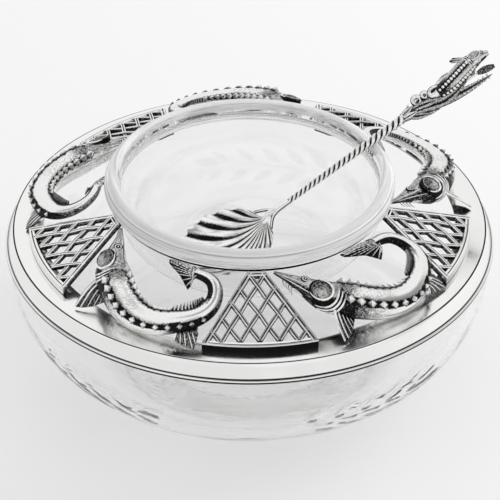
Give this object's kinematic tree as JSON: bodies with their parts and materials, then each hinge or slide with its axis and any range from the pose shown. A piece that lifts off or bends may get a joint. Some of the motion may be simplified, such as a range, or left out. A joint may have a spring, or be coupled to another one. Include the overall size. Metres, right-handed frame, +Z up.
{
  "type": "caviar server",
  "caption": "Round glass ice bowl with a silver collar and a pierced gallery of sturgeons and fishing nets that holds a glass caviar bowl, with a shell-bowled silver spoon.",
  "frame": {"origin": "middle of the flat base of the ice bowl", "axes": "+Z up along the axis of the bowls, the front of the server towards -Y, the spoon's stem towards +X"},
  "size_m": [0.2072, 0.2068, 0.1239],
  "materials": {
    "ice_bowl_glass": "clear, polished",
    "caviar_bowl_glass": "clear, polished",
    "polished_silver": "polished silver",
    "oxidised_silver": "cast silver, blackened in its recesses and polished on its high places",
    "spoon_silver": "polished silver with darkened grooves"
  },
  "bodies": {
    "root": {"ice_bowl": "ice_bowl_glass", "rim_collar": "polished_silver", "seat_ring": "polished_silver", "caviar_bowl": "caviar_bowl_glass", "net_panel_1": "oxidised_silver", "net_panel_2": "oxidised_silver", "net_panel_3": "oxidised_silver", "net_panel_4": "oxidised_silver", "net_panel_5": "oxidised_silver", "sturgeon_1": "oxidised_silver", "sturgeon_2": "oxidised_silver", "sturgeon_3": "oxidised_silver", "sturgeon_4": "oxidised_silver", "sturgeon_5": "oxidised_silver", "spoon_bowl": "spoon_silver", "spoon_stem": "spoon_silver", "spoon_finial": "spoon_silver"}
  },
  "joints": []
}
